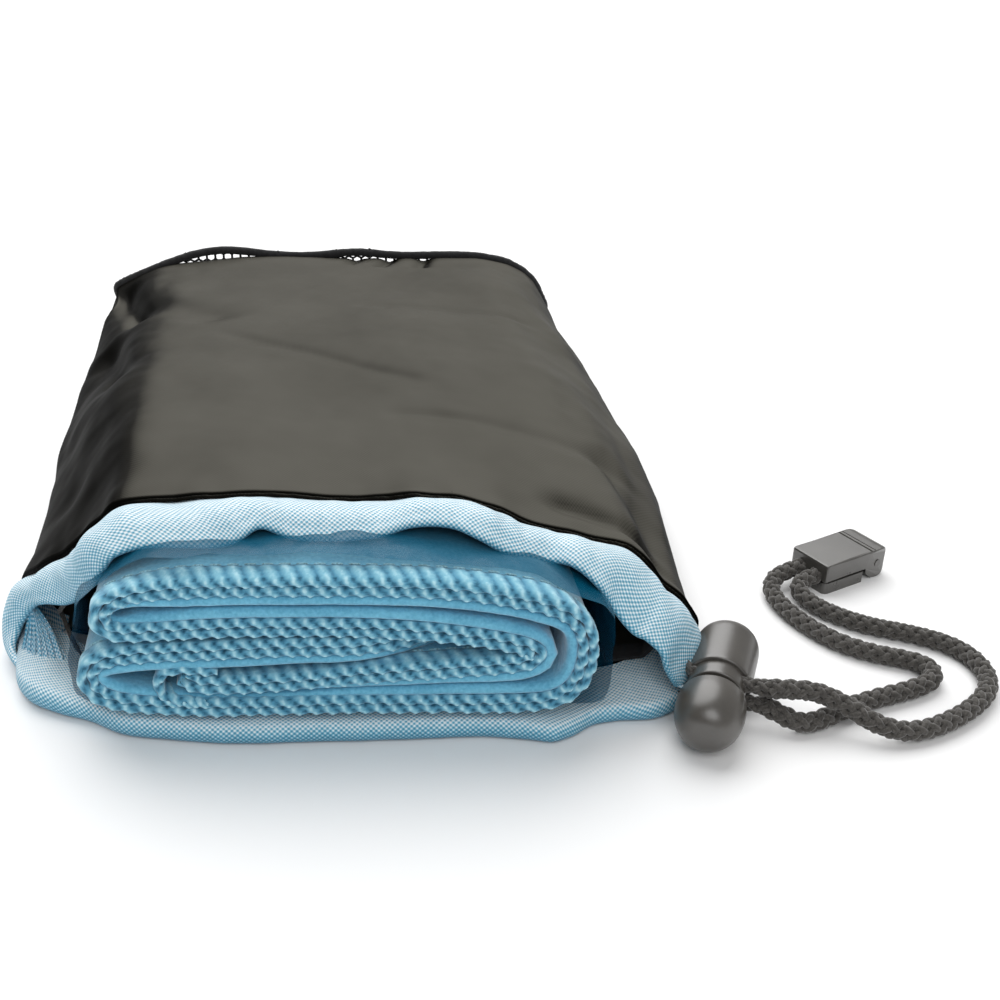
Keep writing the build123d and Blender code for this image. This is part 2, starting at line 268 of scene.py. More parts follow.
def nylon_material():
    """Black coated nylon, with painted light: grey on faces that look up and lean right, near black as
    painted shade on faces that lean left.
    """
    s = Shader("coated_nylon", (0.02, 0.019, 0.017), 0.45, IOR=1.06)
    x, y = s.split(s.place())[:2]
    thread = s.weave(x, 0.00032, y, 0.00042)
    nx, _, nz = s.facing()
    # Painted light: faces that look up and lean right get a grey painted sheen, faces that lean left a
    # near-black painted shade.
    up = s.blend((nz, 0.92), (nx, 0.3))
    # The ramp runs mostly on this painted light; the thread weave and noise add the cloth's own small tone
    # changes.
    s.color(
        s.blend((thread, 0.05), (s.noise(38, 4), 0.1), (up, 0.9)),
        (0.56, (0.0016, 0.0015, 0.001)),
        (0.74, (0.009, 0.0084, 0.0068)),
        (0.86, (0.066, 0.063, 0.053)),
        (0.97, (0.104, 0.1, 0.086)),
    )
    s.uneven_gloss(s.noise(55, 3), 0.4)
    s.bump(s.blend((thread, 0.6), (s.noise(900, 2), 0.4)), 0.3, 0.00005)
    return s.mat


def casing_material():
    """Light-blue plain weave, with painted light: palest where it faces up."""
    s = Shader("casing_weave", (0.36, 0.6, 0.72), 0.62, Specular_IOR_Level=0.4, Sheen_Weight=0.25)
    u, v = s.split(s.attribute("fabric", "Vector"))[:2]
    h = s.weave(u, 0.5, v, 0.46)
    s.color(
        # The normal's z term is painted light: faces that look up go paler, the rest darker as painted
        # shade. The near-white top stop, reached on up-facing thread crowns, is a painted highlight.
        s.blend((h, 0.6), (s.noise(700, 2), 0.15), (s.facing()[2], 0.3)),
        (0.1, (0.026, 0.19, 0.32)),
        (0.42, (0.12, 0.42, 0.59)),
        (0.8, (0.88, 0.95, 0.98)),
    )
    s.bump(h, 0.8, 0.00022)
    return s.mat


def towel_material():
    """Matt microfibre suede with a soft mottle."""
    sheen = {"Sheen_Weight": 0.5, "Sheen_Roughness": 0.5}
    s = Shader("microfibre_suede", (0.13, 0.37, 0.5), 0.95, Specular_IOR_Level=0.15, **sheen)
    fine, soft = s.noise(1500, 3), s.noise(160, 4)
    s.color(s.blend((fine, 0.6), (soft, 0.4)), (0.3, (0.085, 0.32, 0.49)), (0.7, (0.19, 0.53, 0.71)))
    s.bump(s.blend((fine, 0.5), (s.noise(600, 3), 0.5)), 0.6, 0.00035)
    return s.mat


def overlock_material():
    """Fluffy edge thread, with painted shade in the hollows between its stitches and a painted highlight on
    their tops.
    """
    s = Shader("overlock_thread", (0.19, 0.44, 0.56), 0.85, Specular_IOR_Level=0.25, Sheen_Weight=0.3)
    fibre = s.noise(1800, 2)
    s.color(
        # The ramp over the stitch height (rise) paints shade into the low places and a highlight onto the
        # high ones.
        s.blend((s.attribute("rise"), 0.82), (fibre, 0.18)),
        (0.12, (0.014, 0.1, 0.17)),
        (0.36, (0.085, 0.3, 0.45)),
        (0.66, (0.21, 0.49, 0.62)),
        (0.92, (0.46, 0.74, 0.83)),
    )
    s.bump(fibre, 0.5, 0.00015)
    return s.mat


def film_material():
    # A clear film given a dark teal colour and 0.6 alpha: painted shade of the towel top beneath the casing
    # lip, seen through the film.
    s = Shader("clear_film", (0.003, 0.1, 0.18), 0.24, IOR=1.17, Alpha=0.6)
    s.mat.surface_render_method = "BLENDED"
    return s.mat


def cord_material():
    s = Shader("cord_braid", (0.085, 0.079, 0.072), 0.7, Specular_IOR_Level=0.35, Sheen_Weight=0.3)
    fine = s.noise(2600, 3)
    s.color(fine, (0.3, (0.028, 0.025, 0.022)), (0.7, (0.085, 0.079, 0.071)))
    s.bump(fine, 0.5, 0.0001)
    return s.mat


def shaded(color, factor):
    return tuple(c * factor for c in color)


def plastic_material(name, color, roughness):
    """Moulded plastic with a fine grain and slightly uneven gloss."""
    s = Shader(name, color, roughness, Specular_IOR_Level=1)
    wear = s.noise(120, 4)
    s.color(wear, (0.3, shaded(color, 0.85)), (0.7, shaded(color, 1.25)))
    s.uneven_gloss(wear, roughness - 0.08)
    s.bump(s.noise(1400, 3), 0.22, 0.00004)
    return s.mat


def plain_fabric(name, color, scale):
    """Tape, net or thread, with a fibre noise of the given scale."""
    s = Shader(name, color, 0.8, Specular_IOR_Level=0.3, Sheen_Weight=0.15)
    n = s.noise(scale, 3)
    s.color(n, (0.3, shaded(color, 0.6)), (0.7, shaded(color, 1.5)))
    s.bump(n, 0.4, 0.00012)
    return s.mat


def steel_material():
    s = Shader("spring_wire", (0.55, 0.55, 0.57), 0.28, Metallic=1)
    s.bump(s.noise(2200, 2), 0.15, 0.00003)
    return s.mat


NYLON = nylon_material()
CASING = casing_material()
TOWEL = towel_material()
OVERLOCK = overlock_material()
FILM = film_material()
CORD = cord_material()
LOCK = plastic_material("lock_acetal", (0.056, 0.051, 0.044), 0.34)
CORD_END = plastic_material("cord_end_nylon", (0.064, 0.061, 0.055), 0.3)
BINDING = plain_fabric("binding_tape", (0.014, 0.014, 0.015), 900)
MESH = plain_fabric("black_mesh", (0.016, 0.016, 0.017), 1400)
THREAD = plain_fabric("sewing_thread", (0.025, 0.03, 0.035), 2200)
EDGE_THREAD = plain_fabric("edge_thread", (0.26, 0.48, 0.56), 2400)
STEEL = steel_material()

# -------- camera, light, floor

CAMERA_AT = (-0.010, -0.304, 0.157)
CAMERA_YAW, CAMERA_PITCH = 4.3, 27.7
FLOOR = 30  # metres, half a side


def soft_sun(name, elevation, azimuth, spread, strength):
    """A broad, distant lamp. Azimuth 0 is behind the object, 90 is to its right."""
    data = bpy.data.lights.new(name, "SUN")
    data.energy, data.angle = strength, radians(spread)
    lamp = link(bpy.data.objects.new(name, data))
    lamp.rotation_euler = (radians(elevation - 90), 0, radians(-azimuth))


def studio():
    """The camera, a soft world that is brighter to the right, two lamps and the floor."""
    camera_data = bpy.data.cameras.new("camera")
    camera_data.lens, camera_data.sensor_width, camera_data.shift_x = 50, 36, 0.10
    camera_data.clip_start, camera_data.clip_end = 0.01, 20
    camera = link(bpy.data.objects.new("camera", camera_data))
    camera.location = CAMERA_AT
    camera.rotation_euler = (radians(90 - CAMERA_PITCH), 0, radians(-CAMERA_YAW))
    bpy.context.scene.camera = camera

    world = bpy.data.worlds.new("studio")
    world.use_nodes = True
    tree = world.node_tree
    background = tree.nodes["Background"]
    background.inputs["Color"].default_value = (1, 1, 1, 1)
    toward = tree.nodes.new("ShaderNodeTexCoord").outputs["Generated"]
    split = tree.nodes.new("ShaderNodeSeparateXYZ")
    spread = tree.nodes.new("ShaderNodeMapRange")
    tree.links.new(toward, split.inputs[0])
    tree.links.new(split.outputs["X"], spread.inputs["Value"])
    for socket, value in (("From Min", -0.9), ("From Max", 0.3), ("To Min", 0.08), ("To Max", 0.36)):
        spread.inputs[socket].default_value = value
    tree.links.new(spread.outputs[0], background.inputs["Strength"])
    bpy.context.scene.world = world
    bpy.context.scene.view_settings.view_transform = "Standard"

    soft_sun("sky_softbox", 50, -14, 70, 3.1)
    soft_sun("key", 46, 186, 44, 1.15)

    floor_data = bpy.data.meshes.new("floor")
    corners = [(-FLOOR, -FLOOR, 0), (FLOOR, -FLOOR, 0), (FLOOR, FLOOR, 0), (-FLOOR, FLOOR, 0)]
    floor_data.from_pydata(corners, [], [(0, 1, 2, 3)])
    s = Shader("floor", (0.93, 0.93, 0.93), 0.85, Specular_IOR_Level=0.1)
    floor_data.materials.append(s.mat)
    link(bpy.data.objects.new("floor", floor_data))


studio()

# -------- cords

CORD_R = 2
CORD_GAP = 0.3  # mm between the points along a braid
STRANDS_EACH_WAY = 4
BRAID_TURN = 11  # mm of cord for one turn of a yarn

# The same routes as the CAD tubes, in metres
ROUTE_A = [
    (0.072874, -0.100773, 0.00835), (0.0766, -0.1012, 0.0083), (0.0806, -0.1011, 0.0078),
    (0.084, -0.1022, 0.007), (0.0874, -0.1044, 0.0059), (0.091, -0.1066, 0.004), (0.0964, -0.1077, 0.0023),
    (0.1026, -0.1064, 0.00195), (0.1092, -0.1032, 0.00195), (0.1156, -0.0986, 0.00195),
    (0.1198, -0.0928, 0.00195), (0.1204, -0.086, 0.00195), (0.1176, -0.0798, 0.00195),
    (0.1112, -0.0754, 0.00195), (0.104, -0.0722, 0.00195), (0.0984, -0.0676, 0.00195),
    (0.0946, -0.0624, 0.002), (0.0934, -0.0582, 0.0025), (0.0946, -0.0556, 0.0031),
    (0.099189, -0.053627, 0.0035), (0.102799, -0.051905, 0.0035),
]
ROUTE_B = [
    (0.072874, -0.100773, 0.00445), (0.0758, -0.1032, 0.0036), (0.0794, -0.1036, 0.0021),
    (0.0834, -0.1022, 0.00195), (0.088, -0.0996, 0.00195), (0.0942, -0.097, 0.00195),
    (0.1008, -0.0952, 0.00195), (0.106, -0.0934, 0.00195), (0.1098, -0.0908, 0.00195),
    (0.11, -0.0868, 0.00195), (0.1064, -0.0842, 0.00195), (0.1008, -0.0818, 0.00195),
    (0.0954, -0.0776, 0.00195), (0.0914, -0.0714, 0.00195), (0.0888, -0.0648, 0.00195),
    (0.0878, -0.0586, 0.002), (0.0888, -0.0542, 0.0025), (0.0916, -0.052, 0.0032),
    (0.097294, -0.049656, 0.0035), (0.100905, -0.047934, 0.0035),
]


def route_line(name, points):
    """Dense points along the smooth line that a NURBS spline makes of the route, in millimetres."""
    data = bpy.data.curves.new(name, "CURVE")
    data.dimensions = "3D"
    data.resolution_u = 24
    spline = data.splines.new("NURBS")
    spline.points.add(len(points) - 1)
    for point, at in zip(spline.points, points):
        point.co = (*at, 1)
    spline.order_u = 3
    spline.use_endpoint_u = True
    obj = link(bpy.data.objects.new(name, data))
    bpy.context.view_layer.update()
    mesh = bpy.data.meshes.new_from_object(obj.evaluated_get(bpy.context.evaluated_depsgraph_get()))
    line = np.array([v.co[:] for v in mesh.vertices]) / MM
    bpy.data.objects.remove(obj)
    bpy.data.meshes.remove(mesh)
    return line


def frames_along(points):
    """A steady side and up direction at each point of a line."""
    t = unit(np.gradient(points, axis=0))
    side = unit(np.cross(t[0], (0, 0, 1)))
    sides = []
    for d in t:
        side = unit(side - d * side.dot(d))
        sides.append(side)
    sides = np.array(sides)
    return sides, np.cross(sides, t)


def tube_rows(points, radius, n=8):
    """A round tube's grid along a line. radius is a number or one for each point."""
    side, up = frames_along(points)
    radius = np.ones(len(points)) * radius
    angles = np.linspace(0, 2 * pi, n, endpoint=False)[None, :, None]
    ring = np.cos(angles) * side[:, None, :] + np.sin(angles) * up[:, None, :]
    return points[:, None, :] + ring * radius[:, None, None]


def add_tube(verts, faces, rows):
    faces += grid_faces(*rows.shape[:2], close_v=True, first=len(verts))
    verts += list(rows.reshape(-1, 3))


def stitch_row(name, points, radii, material, body):
    """Short stitches along an evenly spaced line, each as many points long as it has radii."""
    n = len(radii)
    verts, faces = [], []
    for i in range(0, len(points) - n - 1, n + 2):
        add_tube(verts, faces, tube_rows(points[i : i + n], radii, 6))
    return mesh_piece(name, verts, faces, material, body)


def braid_piece(name, line, body, outer=CORD_R):
    """A round braid of yarns that pass over and under each other along a line."""
    points, s = resample(line, CORD_GAP)
    side, up = frames_along(points)
    if np.ndim(outer):
        outer = np.interp(np.linspace(0, 1, len(points)), np.linspace(0, 1, len(outer)), outer)
    yarn_r, wave = outer * 0.33, outer * 0.115
    mid_r = outer - yarn_r - wave
    verts, faces = [], []
    turn = 2 * pi / BRAID_TURN
    for way in (1, -1):
        for k in range(STRANDS_EACH_WAY):
            angle = 2 * pi * k / STRANDS_EACH_WAY + way * turn * s
            r = mid_r + way * wave * np.cos(STRANDS_EACH_WAY * turn * s)
            yarn = points + side * (r * np.cos(angle))[:, None] + up * (r * np.sin(angle))[:, None]
            add_tube(verts, faces, tube_rows(yarn, yarn_r, 7))
    add_tube(verts, faces, tube_rows(points, mid_r - yarn_r * 0.2, 10))
    return mesh_piece(name, verts, faces, CORD, body)


line_a = route_line("route_a", ROUTE_A)
line_b = route_line("route_b", ROUTE_B)
strand_a = braid_piece("strand_a_braid", line_a, "pouch")
strand_b = braid_piece("strand_b_braid", line_b, "pouch")
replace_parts(strand_a, "drawcord_strand_a")
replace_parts(strand_b, "drawcord_strand_b")

# -------- the pouch's form

# Points round the pouch, (x, z), at four places along it. From the base's left edge to its right
# edge, up the right flank, over the top and down the left flank.
STATIONS = {
    -77: [
        (-60, 0), (58, 0), (65.4, 8.5), (62.2, 14.8), (57.5, 18.8), (53.6, 24.5), (50, 27.4), (41, 29.2),
        (32, 31.6), (24, 36.2), (13, 38.3), (-3, 37.6), (-22, 39.8), (-44.5, 38.6), (-50.8, 31.1),
        (-56, 23.6), (-63, 19), (-68.5, 11),
    ],
    -20: [
        (-60, 0), (58, 0), (69.8, 8.5), (66.5, 14), (62.5, 19), (58, 24.5), (53, 29), (45, 33), (35, 35.2),
        (24, 36), (12, 36.3), (-4, 36.4), (-24, 36.8), (-43, 36.2), (-51, 32.5), (-58, 26), (-64, 17.5),
        (-69, 9.5),
    ],
    40: [
        (-59, 0), (57, 0), (67.8, 8), (64.5, 14), (61, 18.5), (57, 23), (52, 27), (44, 30), (34, 31.2),
        (22, 31.8), (10, 32), (-5, 32), (-25, 32), (-44, 31.2), (-52, 28.6), (-59, 24), (-65, 17),
        (-68.8, 11.5),
    ],
    100: [
        (-57, 0), (55, 0), (65.8, 8.5), (63.6, 13.5), (61, 17.8), (57.5, 21), (52, 24), (43, 25.8),
        (33, 26.2), (22, 26.2), (10, 26.4), (-5, 26.8), (-24, 27), (-42, 26.6), (-50, 25), (-57, 22.5),
        (-62, 20.5), (-65.5, 18.5),
    ],
}
ANCHORS = 18
TIP_R, TIP_L = 2, 17
form_tracks = [Track([(y, ring[i]) for y, ring in STATIONS.items()]) for i in range(ANCHORS)]
# Where the nylon's front edge runs, for each point round the pouch
SEAM_Y = Track([
    (0, -78), (1, -80), (2, -80), (4, -80), (5, -79.6), (7, -78.7), (8, -78.2), (9, -77.6), (10, -76.8),
    (11, -76.2), (13, -76), (14, -72.6), (15, -69), (16, -64), (17, -57), (18, -62),
])

# The form's table: its step round the pouch, and its first y and step along it
A_STEP, Y_LOW, Y_STEP = 0.02, -125, 1


def form_table():
    """The whole form on a fine grid of places and y, rounded across the anchors."""
    fine = np.arange(0, ANCHORS, A_STEP)
    i, f = fine.astype(int), (fine % 1)[:, None]
    layers = []
    for y in np.arange(Y_LOW, 104, Y_STEP):
        p = np.array([track(y) for track in form_tracks])
        layers.append(softened(p[i] * (1 - f) + p[(i + 1) % ANCHORS] * f, 28, 15))
    return np.array(layers)


FORM = form_table()


def form(a, y):
    """The point (x, z) round the pouch at a place between anchors."""
    fa, fy = (a % ANCHORS) / A_STEP, (y - Y_LOW) / Y_STEP
    ia, iy = int(fa), min(max(int(fy), 0), len(FORM) - 2)
    fa, fy = fa - ia, min(max(fy - iy, 0), 1)
    n = FORM.shape[1]
    ia, ja = ia % n, (ia + 1) % n
    low = FORM[iy, ia] * (1 - fa) + FORM[iy, ja] * fa
    high = FORM[iy + 1, ia] * (1 - fa) + FORM[iy + 1, ja] * fa
    return low * (1 - fy) + high * fy


def form_point(a, y, lift=0):
    """A point of the form, moved outwards by lift."""
    p = form(a, y)
    if lift:
        q = unit(form(a + 0.05, y) - form(a - 0.05, y))
        p = p + np.array([q[1], -q[0]]) * lift
    return np.array([p[0], y, p[1]])


# Creases in plan: two ends, how deep and how wide
CREASES = [
    ((-63, 96), (-54, 52), 2.6, 3.8),
    ((-52, 62), (-30, 34), 1.2, 6),
    ((-62, 46), (-55, 4), 2.6, 5),
    ((-62, -6), (-58, -50), 1, 3.8),
    ((-30, 22), (16, -20), 0.7, 2.6),
    ((6, 44), (50, 36), 0.6, 2.4),
    ((8, -38), (58, -46), 0.7, 2.6),
    ((18, 101), (13, 90), 1.6, 2.2),
    ((28, 101), (25, 88), 1.4, 2.4),
    ((8, 101), (4, 92), 1, 2),
    ((50, 90), (60, 40), 0.8, 4),
    ((36, -68), (62, -74), 1.8, 3),
    ((52, -40), (60, -70), 1.3, 3.6),
]


def crease(x, y):
    """How deep the creases are at a place in plan."""
    depth = 0
    for (x0, y0), (x1, y1), d, w in CREASES:
        ux, uy = x1 - x0, y1 - y0
        n2 = ux * ux + uy * uy
        t = ((x - x0) * ux + (y - y0) * uy) / n2
        away = abs((x - x0) * uy - (y - y0) * ux) / sqrt(n2)
        along = step(-0.12, 0.15, t) * (1 - step(0.85, 1.12, t))
        depth += d * along * exp(-((away / w) ** 2))
    return depth


def nylon_lift(a, y):
    """How far the nylon stands off its smooth form: soft swells, creases and small puckers."""
    x, z = form(a, y)
    flank = step(11, 4, z) if z < 11 else 0
    soft = 1.1 * noisy(x, y, z, 34, 3.1) + 0.35 * noisy(x * 0.6, y, z, 12, 7.7)
    side = noisy(x, y * 0.6, z * 2, 17, 5.2) * step(18, 50, abs(x))
    fine = 0.1 * noisy(x, y, z, 4.5, 1.4)
    near_seam = exp(-((y - SEAM_Y(a)) / 7) ** 2)
    pucker = 0.45 * noisy(x, y * 0.3, z, 5.5, 9.3) * near_seam
    edge = step(0, 6, y - SEAM_Y(a)) * 0.75 + 0.25
    return (soft + side - crease(x, y)) * edge * (1 - 0.5 * flank) + fine + pucker


NYLON_REAR = 100.6


def nylon_panel(name, rows):
    panel = grid_piece(name, rows, NYLON, "pouch", flip=True)
    thicken(panel, 0.0007)
    return panel


def nylon_panels():
    """The top panel over both flanks, and the base panel that lies on the table."""
    rows = []
    for a in np.linspace(TIP_R, TIP_L, 190):
        rows.append([form_point(a, y, nylon_lift(a, y)) for y in np.linspace(SEAM_Y(a), NYLON_REAR, 150)])
    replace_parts(nylon_panel("nylon_top", rows), "pouch_top_panel")
    rows = []
    for a in np.linspace(TIP_L, ANCHORS + TIP_R, 90) % ANCHORS:
        row = []
        for y in np.linspace(SEAM_Y(a), NYLON_REAR, 90):
            p = form_point(a, y)
            rise = 0.28 * max(noisy(p[0], y, 0, 22, 6), 0) * step(0, 12, 60 - abs(p[0]))
            p[2] = max(p[2] + 0.05, 0.05) + rise
            row.append(p)
        rows.append(row)
    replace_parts(nylon_panel("nylon_base", rows), "pouch_base_panel")


nylon_panels()

# -------- the casing

# The top band's free edge (the lip), against the place round the pouch
LIP = Track([
    (2, (58, -96.2, 6.6)), (2.6, (56.8, -96.5, 8.6)), (3.2, (55.7, -96.3, 10.6)), (3.8, (54.4, -96, 14.2)),
    (4.4, (51.4, -95.4, 17.2)), (5, (48.8, -94.9, 18.6)), (5.6, (45.4, -94.2, 22.8)),
    (6.4, (42.6, -93.4, 27)), (7.2, (37.6, -91, 30.8)), (8, (31.8, -89, 31.3)), (8.5, (26, -90.2, 33.4)),
    (9.1, (20.8, -90, 36.5)), (9.7, (15.2, -88.4, 38.5)), (10.3, (8.2, -87.3, 38.2)),
    (10.8, (2, -88.2, 36.9)), (11.2, (-5.5, -88, 36.3)), (11.6, (-13, -87.5, 36.9)),
    (11.95, (-18.7, -87, 38.9)), (12.2, (-22.2, -88.4, 37.5)), (12.45, (-26, -89, 36.5)),
    (12.7, (-32, -89.3, 36.9)), (13, (-38.5, -89, 37)), (13.4, (-44.2, -89, 35.5)),
    (13.9, (-47.4, -88.4, 31.8)), (14.6, (-51.5, -85, 25.2)), (15.4, (-56, -79.6, 19.8)),
    (16.1, (-61.5, -74.6, 16.9)), (16.5, (-64.2, -71.8, 14.4)), (16.8, (-66.4, -70.2, 11)),
    (17, (-68.2, -69.4, 7.8)), (17.2, (-69.4, -70.6, 5.4)), (17.4, (-69, -73, 4.2)),
    (17.6, (-67.4, -75.6, 3.2)), (17.8, (-65.6, -78, 2.6)),
])
BAND_T = 1.5
BAND_STEPS = 26


def band_section(start, start_dir, end, end_dir, pull, n):
    """Points along a smooth curve that leaves start and reaches end in given directions."""
    start, end = np.asarray(start, float), np.asarray(end, float)
    size = np.linalg.norm(end - start)
    b1 = start + np.asarray(start_dir) * size * pull
    b2 = end - np.asarray(end_dir) * size * pull
    t = np.linspace(0, 1, n)[:, None]
    return (1 - t) ** 3 * start + 3 * (1 - t) ** 2 * t * b1 + 3 * (1 - t) * t**2 * b2 + t**3 * end


def folded_band(curves, thickness, lip_steps=7):
    """Each outer curve gets an inner layer and a rounded lip, as a band of cloth folded double."""
    outer = np.asarray(curves, float)
    dv = np.gradient(outer, axis=1)
    n = -unit(np.cross(np.gradient(outer, axis=0), dv))
    rows = []
    for i in range(len(outer)):
        line = list(outer[i])
        tip, normal = outer[i, -1], n[i, -1]
        forward = unit(dv[i, -1])
        for k in range(1, lip_steps):
            angle = pi * k / lip_steps
            turn = normal * (1 - cos(angle)) + forward * sin(angle)
            line.append(tip + turn * thickness / 2)
        line += [outer[i, j] + n[i, j] * thickness for j in range(outer.shape[1] - 1, -1, -1)]
        rows.append(line)
    return rows


def top_band():
    """The upper half of the mouth: a double band from under the hem to the lip."""
    curves = []
    for a in np.linspace(TIP_R - 0.05, 17.8, 460):
        seam = SEAM_Y(a)
        start = form_point(a, seam + 1.2, nylon_lift(a, seam + 1.2) - 1)
        start_dir = unit(form_point(a, seam - 5, 0.6) - form_point(a, seam + 1.2, -1))
        out = form_point(a, seam, 1) - form_point(a, seam, 0)
        end_dir = unit(np.array([0, -0.72, 0]) - out * 0.75)
        line = band_section(start, start_dir, LIP(a), end_dir, 0.36, BAND_STEPS)
        bulge = 0.9 + 1.5 * exp(-(((a - 17.1) / 0.4) ** 2))
        for j, (x, y, z) in enumerate(line):
            v = j / (BAND_STEPS - 1)
            ruffle = 0.75 * noisy(x, y * 0.25, z, 7.5, 2.2) + 0.35 * noisy(x, y * 0.4, z, 3.4, 4.1)
            swell = bulge * sin(pi * min(v * 1.15, 1))
            swell += ruffle * sin(pi * min(v * 1.05, 1)) ** 0.7
            line[j] += out * swell
        curves.append(line)
    rows = np.asarray(folded_band(curves, BAND_T))
    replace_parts(woven_piece("casing_top", rows), "casing_band_top")
    return rows


# The base band's free edge in plan, from right to left, and the height of its upper surface there
BASE_LIP = Track([
    (0, (63.5, -88, 4.6)), (0.05, (61, -92.5, 4.4)), (0.1, (57.8, -95.9, 4.2)), (0.16, (53, -98.4, 4)),
    (0.23, (45.5, -98.6, 4)), (0.27, (41.5, -99.4, 4)), (0.32, (36, -103, 4.2)), (0.345, (33, -104, 4.2)),
    (0.37, (29.5, -103.2, 4.2)), (0.42, (23, -101.8, 4.3)), (0.53, (5, -101.2, 4.4)),
    (0.64, (-13, -100.6, 4.4)), (0.72, (-28, -99.8, 4.4)), (0.77, (-37, -98, 4.4)), (0.82, (-45, -96, 4.5)),
    (0.87, (-52, -91.4, 4.6)), (0.905, (-57, -89.2, 4.9)), (0.93, (-61.6, -86.6, 5.2)),
    (0.955, (-64.6, -84, 5.4)), (0.98, (-66.8, -79.6, 5)), (1, (-67.6, -74, 4.4)),
])
BASE_SEAM = Track([
    (0, (66, -80, 6.6)), (0.1, (58, -80.4, 5.6)), (0.23, (46, -86, 4.6)), (0.42, (23, -80, 3.4)),
    (0.64, (-13, -79, 3.4)), (0.82, (-44, -76, 3.6)), (0.94, (-60, -66, 5)), (1, (-68, -57, 7.5)),
])


def base_band():
    """The lower half of the mouth, which lies on the table and ends in a round lip."""
    rows = []
    for t in np.linspace(0, 1, 420):
        (x, y, top), seam = BASE_LIP(t), BASE_SEAM(t)
        wave = 0.35 * noisy(x, 0, 0, 9, 8.8) + 0.2 * noisy(x, 0, 0, 3.6, 1.9)
        back = np.array([seam[0], seam[1], 0]) - np.array([x, y, 0])
        reach = np.linalg.norm(back)
        back /= reach
        nose = min(2.3, top / 2 - 0.05)
        low = 0.06 + 0.9 * step(0.9, 1, t)
        section = []
        for k in range(14):  # upper surface, from the seam to the nose
            s = k / 13
            d = reach * (1 - s) + nose * s
            z = seam[2] * (1 - s) + (top + 0.25 * sin(pi * s)) * s
            z += (wave * 1.1 + 0.25 * noisy(x, d * 0.5, 0, 5, 3.3)) * sin(pi * s) ** 0.8
            section.append((d, z))
        for k in range(1, 12):  # round the nose
            angle = pi * k / 12
            belly = nose * sin(angle) ** 0.8 + wave * 0.5 * sin(angle)
            section.append((nose - belly, (top + low) / 2 + (top - low) / 2 * cos(angle)))
        for k in range(8):  # underneath, back to the seam
            section.append((nose + (reach - nose) * k / 7, low + 0.3 * k / 7))
        rows.append([np.array([x, y, z]) + back * d for d, z in section])
    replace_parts(woven_piece("casing_base", rows, flip=True), "casing_band_base")


band_rows = top_band()
base_band()


def pleated_tuck():
    """The casing's inner side at the left end, gathered into a fan of small pleats."""
    apex = np.array([-64, -70.6, 14])
    rows = []
    for u in np.linspace(0, 1, 130):
        arch = sin(pi * u)
        foot = np.array([-67 + 10.5 * u, -73.5 - 4.5 * u - 2.5 * arch, 3 + 0.4 * arch])
        line = []
        for v in np.linspace(0.02, 1, 46):
            p = apex * (1 - v) + foot * v
            pleat = sin(2 * pi * (6.5 * u + 0.4 * v)) * 0.5
            pleat += 0.3 * noisy(u * 30, v * 8, 0, 3, 5)
            p = p + np.array([0.35, -0.9, 0.25]) * pleat * (0.25 + v)
            p[1] += 2.4 * sin(pi * v) * (0.3 + 0.7 * u)
            line.append(p)
        rows.append(line)
    thicken(woven_piece("casing_tuck", rows), 0.0005)


pleated_tuck()


def held_cord():
    """The loop of drawcord held in the casing: a thin round braid inside the band, thicker where it meets
    the lock.
    """
    inside = band_rows[:, 19] * 0.5 + band_rows[:, -20] * 0.5
    top = inside[16:-120:12]
    base = []
    for t in np.linspace(0.84, 0.14, 22):
        lip, seam = BASE_LIP(t), BASE_SEAM(t)
        back = unit(np.array([seam[0] - lip[0], seam[1] - lip[1], 0]))
        base.append(np.array([lip[0], lip[1], lip[2] / 2]) + back * 4.5)
    start = [(73.2, -100.9, 8.35), (68, -98.6, 8.35), (63.2, -96.5, 8.35), (60.4, -95.2, 8.6)]
    end = [(60.4, -95.2, 4.4), (63.2, -96.5, 4.45), (68, -98.6, 4.45), (73.2, -100.9, 4.45)]
    turn = [(-59, -70, 12), (-60, -64, 8.5), (-57, -70, 4)]
    points, _ = smooth_line(np.vstack([start, top, turn, base, end]), 0.6, rounds=1)
    n = len(points)
    reach = np.minimum(np.arange(n), np.arange(n)[::-1]) * 0.6
    radius = np.interp(reach, [0, 3, 14, 17], [1.9, 1.6, 1.45, 0.5])
    return braid_piece("held_drawcord", points, "pouch", outer=radius)


def hem():
    """The nylon's turned front edge, a narrow soft welt with a row of stitches."""
    rows = []
    places = np.linspace(TIP_R, TIP_L, 520)
    for a in places:
        line = []
        seam = SEAM_Y(a)
        pucker = 0.3 * noisy(a * 22, 0, 0, 1, 4.7)
        for k in range(13):
            s = k / 12
            y = seam - 0.5 + 3.4 * s
            height = 0.75 * sin(pi * s) ** 0.5 + 0.12 + pucker * sin(pi * s)
            height -= 0.25 * exp(-(((y - seam - 2.3) / 0.35) ** 2))
            line.append(form_point(a, y, nylon_lift(a, y) + height - 0.3))
        rows.append(line)
    welt = grid_piece("hem_welt", rows, NYLON, "pouch", flip=True)
    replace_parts(welt, "hem_welt_top")
    edge = [form_point(a, SEAM_Y(a) + 1.8, nylon_lift(a, SEAM_Y(a) + 1.8) + 0.42) for a in places]
    edge, _ = resample(edge, 0.4)
    radii = [0.08, 0.2, 0.24, 0.24, 0.2, 0.08]
    stitches = stitch_row("hem_stitches", edge, radii, THREAD, "pouch")
    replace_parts(stitches, "casing_stitching")


hem()

# -------- the closed end

END_Y = 101.2
HOLE_PITCH = 2.5


def end_outline():
    """The bound seam's middle line, which stands up in two soft humps along the top."""
    line = np.array([form_point(a, END_Y, 0.2) for a in np.linspace(0, ANCHORS, 360, endpoint=False)])
    line[:, 2] = np.maximum(line[:, 2] + 0.2, 1.3)
    for p in line:
        if p[2] > 15:
            left = 2.4 * exp(-(((p[0] + 33) / 13) ** 2))
            p[2] += left + 1.2 * exp(-(((p[0] - 7) / 9) ** 2)) + 0.5
    return line


